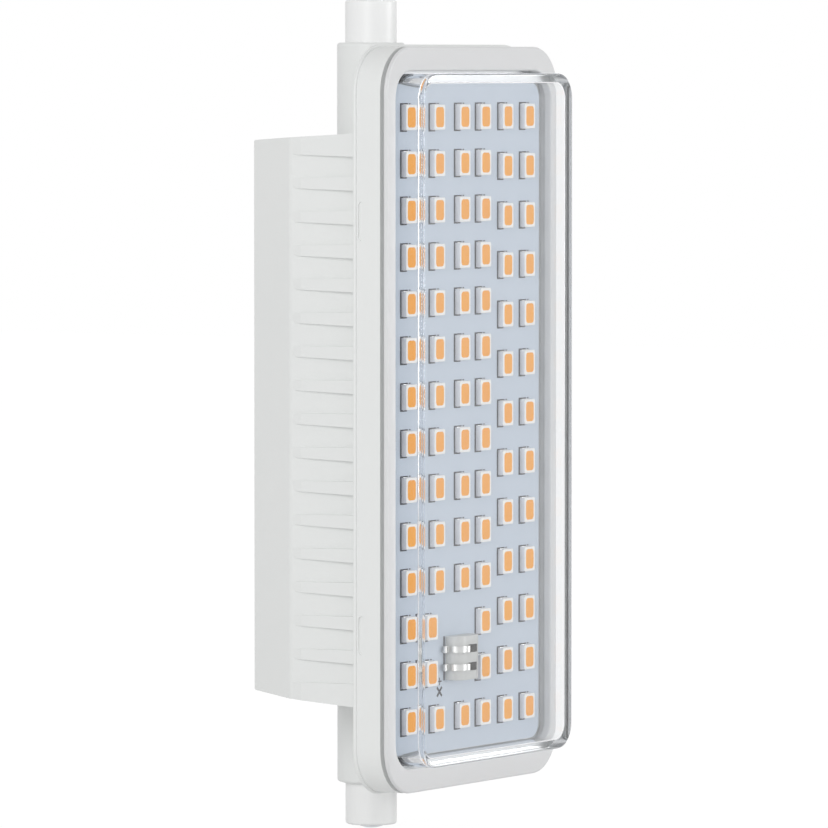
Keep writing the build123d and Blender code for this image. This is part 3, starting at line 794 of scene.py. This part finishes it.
def buildLeds():
    look = ledShape
    size = (look["width"], look["rise"], look["height"])
    body = startBox("led_bodies", size, (0, -look["rise"] / 2, 0))
    editPiece(body)
    pick(body, "EDGE", lambda edge: along(edge, 1))
    bpy.ops.mesh.bevel(offset=look["corner"], segments=2, affect="EDGES")
    pick(body, "FACE", facesFront)
    bpy.ops.mesh.bevel(offset=look["rim"], segments=1, affect="EDGES")
    leaveEdit()
    cupFloor = look["cupDepth"] - look["rise"]
    cutter = roundedBlock(
        "cup", look["windowWidth"], look["windowHeight"], look["windowCorner"],
        cupFloor, -look["rise"] - look["cutAbove"], look["cupTaper"],
    )
    cutWith(body, cutter)

    def isSide(face):
        centre = face.calc_center_median()
        share = max(abs(centre.x) / look["width"], abs(centre.z) / look["height"])
        return facesAside(face) and share > look["sideShare"]

    # The outer side faces take the greyer finish: partly lead frame, partly painted shade
    dressFaces(body, "package_resin", "package_side_painted_shade", isSide)

    fill = roundedBlock(
        "led_phosphor", look["windowWidth"] * look["fillWidth"],
        look["windowHeight"] * look["fillHeight"], look["windowCorner"],
        cupFloor, look["fillDrop"] - look["rise"], look["fillTaper"],
    )
    editPiece(fill)
    pick(fill, "FACE", facesFront)
    inset = look["windowWidth"] * look["domeInset"]
    for step in look["domeSteps"]:
        bpy.ops.mesh.inset(thickness=inset, depth=look["dome"] * step)
    leaveEdit()

    pads = []
    for side in (-1, 1):
        far = look["height"] / 2 + padShape["reach"]
        pad = startBox(
            "led_pads", (padShape["width"], padShape["rise"], padShape["height"]),
            (0, -padShape["rise"] / 2, side * (far - padShape["height"] / 2)),
        )
        editPiece(pad)
        half = -padShape["rise"] / 2
        pick(pad, "EDGE", lambda edge: all(vert.co.y < half for vert in edge.verts))
        bpy.ops.mesh.bevel(offset=padShape["edge"], segments=2, affect="EDGES")
        leaveEdit()
        pads.append(pad)
    pad = joinPieces("led_pads", pads)

    places = ledPlaces()
    bodies = repeatPiece(body, places)
    finishPiece(bodies, "package_resin")
    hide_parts("led_packages")
    fills = repeatPiece(fill, places)
    finishPiece(fills, "phosphor", look["fillSmooth"])
    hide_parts("phosphor_windows")
    finishPiece(repeatPiece(pad, places), "tinned_strip")
    print("light-emitting packages:", len(places))


def buildSilk():
    # Printed bracket at the left, top and bottom of each package
    look = silkShape
    halfWidth = ledShape["width"] / 2 + look["margin"]
    halfHeight = ledShape["height"] / 2 + look["margin"]
    inner = look["sideLine"] / 2 - halfWidth

    def bar(left, right, low, high):
        size = (right - left, look["rise"], high - low)
        centre = ((left + right) / 2, -look["rise"] / 2, (low + high) / 2)
        return startBox("silk_lines", size, centre)

    bars = [bar(inner - look["sideLine"], inner, -halfHeight, halfHeight)]
    low, high = halfHeight - look["endLine"], halfHeight
    dot = inner + look["topRun"] + look["topGap"]
    bars.append(bar(inner, inner + look["topRun"], low, high))
    bars.append(bar(dot, dot + look["topDot"], low, high))
    bars.append(bar(inner, inner + look["bottomRun"], -high, -low))
    finishPiece(repeatPiece(joinPieces("silk_lines", bars), ledPlaces()), "silk")

    # Painted shadow: a dark strip in the print's ink beside the connector's left side, where the
    # body's shadow falls
    low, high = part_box("board_connector")
    line = startBox(
        "connector_shadow_strip", (look["sideLine"], look["rise"], high.z - low.z),
        (low.x - look["sideLine"], boardFront - look["rise"] / 2, (low.z + high.z) / 2),
    )
    finishPiece(line, "silk")

    # Polarity marks beside the connector
    marks = []
    line, rise, growth = markShape["line"], markShape["rise"], markShape["crossSize"]
    for name in ("plus", "cross"):
        mark = startBox("polarity_marks", (line, rise, line), (0, -rise / 2, 0))
        editPiece(mark)
        pick(mark, "FACE", facesAside)
        bpy.ops.mesh.extrude_faces_move(TRANSFORM_OT_shrink_fatten={"value": markShape["arm"]})
        leaveEdit()
        turn = Matrix.Identity(4)
        if name == "cross":
            turn = Matrix.Rotation(pi / 4, 4, "Y") @ Matrix.Diagonal((growth, 1, growth, 1))
        across, up = markShape[name]
        mark.data.transform(Matrix.Translation((across, boardFront, up)) @ turn)
        marks.append(mark)
    finishPiece(joinPieces("polarity_marks", marks), "silk")
    print("printed lines made")


# Connector: an arched body and two sprung straps

connectorShape = {
    "arch": 0.0017,
    "holeWidth": 0.0023,
    "holeHeight": 0.0011,
    "holeFromMiddle": 0.00045,
    "pitch": 0.00254,
    "edge": 0.00009,
    "wellShare": 0.51,  # a well's walls lie within this share of the hole
    "strapWidth": 0.0009,
    "strapThickness": 0.00018,
    "strapGap": 0.00005,
    "tailReach": 0.0007,
    "tailThickness": 0.000288,
    "tailEdge": 0.000045,
    "curl": 0.0005,
    # Stations of a strap, across and inwards, counted in curls and in arches
    "footCurls": ((-2.0, -1.5), (-2.4, -0.7), (-1.9, 0), (-1.2, 0), (-0.6, -0.2)),
    "riserCurls": 1.4,
    "kneeRises": (1.35, 0.55),
    "kneeRuns": (0.45, 1.1),
    "lipCurls": ((-1.9, 0), (-1.2, -0.35), (-0.5, -0.4), (0.1, 0), (0.2, 2.4)),
}


def buildConnector():
    look = connectorShape
    low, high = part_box("board_connector")
    middle = (low + high) / 2
    size = high - low
    body = startBox("connector_body", size, middle)
    editPiece(body)
    pick(body, "EDGE", lambda edge: along(edge, 2) and edge.verts[0].co.y < middle.y)
    bpy.ops.mesh.bevel(offset=look["arch"], segments=8, affect="EDGES")
    leaveEdit()
    holeX = middle.x + look["holeFromMiddle"]
    heights = [middle.z + side * look["pitch"] / 2 for side in (-1, 1)]
    hole = (look["holeWidth"], 2 * size.y, look["holeHeight"])
    for height in heights:
        cutWith(body, startBox("hole", hole, (holeX, low.y, height)))
    softEdges(body, look["edge"])

    # Faces inside the holes get the near-black painted shade
    def isWell(face):
        centre = face.calc_center_median()
        inWidth = abs(centre.x - holeX) < look["wellShare"] * look["holeWidth"]
        reach = look["wellShare"] * look["holeHeight"]
        inHeight = any(abs(centre.z - height) < reach for height in heights)
        return facesAside(face) and inWidth and inHeight

    dressFaces(body, "connector_resin", "connector_hole_painted_shade", isWell)
    finishPiece(body, "connector_resin")
    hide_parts("board_connector")

    # One strap as a flat run seen from its edge: curled foot, arch, spring lip
    lift = look["strapThickness"] / 2 + look["strapGap"]
    curl, arch = look["curl"], look["arch"]
    top = low.y - lift
    foot = high.y - lift
    side = low.x - lift
    holeLeft = holeX - look["holeWidth"] / 2
    route = [(low.x + x * curl, foot + y * curl) for x, y in look["footCurls"]]
    route.append((side, foot - look["riserCurls"] * curl))
    route += [(side, top + y * arch) for y in look["kneeRises"]]
    route += [(low.x + x * arch, top) for x in look["kneeRuns"]]
    route += [(holeLeft + x * curl, top + y * curl) for x, y in look["lipCurls"]]
    straps = []
    for height in heights:
        line = bpy.data.curves.new("strapLine", "CURVE")
        line.dimensions = "2D"
        line.extrude = look["strapWidth"] / 2
        spline = line.splines.new("NURBS")
        spline.points.add(len(route) - 1)
        for point, (x, y) in zip(spline.points, route):
            point.co = (x, y, 0, 1)
        spline.order_u = 3
        spline.use_endpoint_u = True
        spline.resolution_u = 4
        strap = bpy.data.objects.new("connector_straps", line)
        bpy.context.collection.objects.link(strap)
        selectOnly(strap)
        bpy.ops.object.convert(target="MESH")
        strap.data.transform(Matrix.Translation((0, 0, height)))
        thickness = look["strapThickness"]
        applyModifier(strap, "thickness", "SOLIDIFY", thickness=thickness, offset=0)
        # The strap's upper and lower edge faces get the dark painted shade
        shadedEdgeLimit = facing["upOrDown"]
        dressFaces(strap, "tinned_strip", "strip_edge_painted_shade", lambda face: abs(face.normal.z) > shadedEdgeLimit)
        straps.append(strap)
        tail = startBox(
            "tail", (look["tailReach"], look["tailThickness"], look["strapWidth"]),
            (high.x + look["tailReach"] / 2, high.y - look["tailThickness"] / 2, height),
        )
        softEdges(tail, look["tailEdge"])
        straps.append(tail)
    finishPiece(joinPieces("connector_straps", straps), "tinned_strip")
    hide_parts("connector_contacts")
    print("connector made")


placeCamera()
lightStudio()
buildLeds()
buildSilk()
buildConnector()
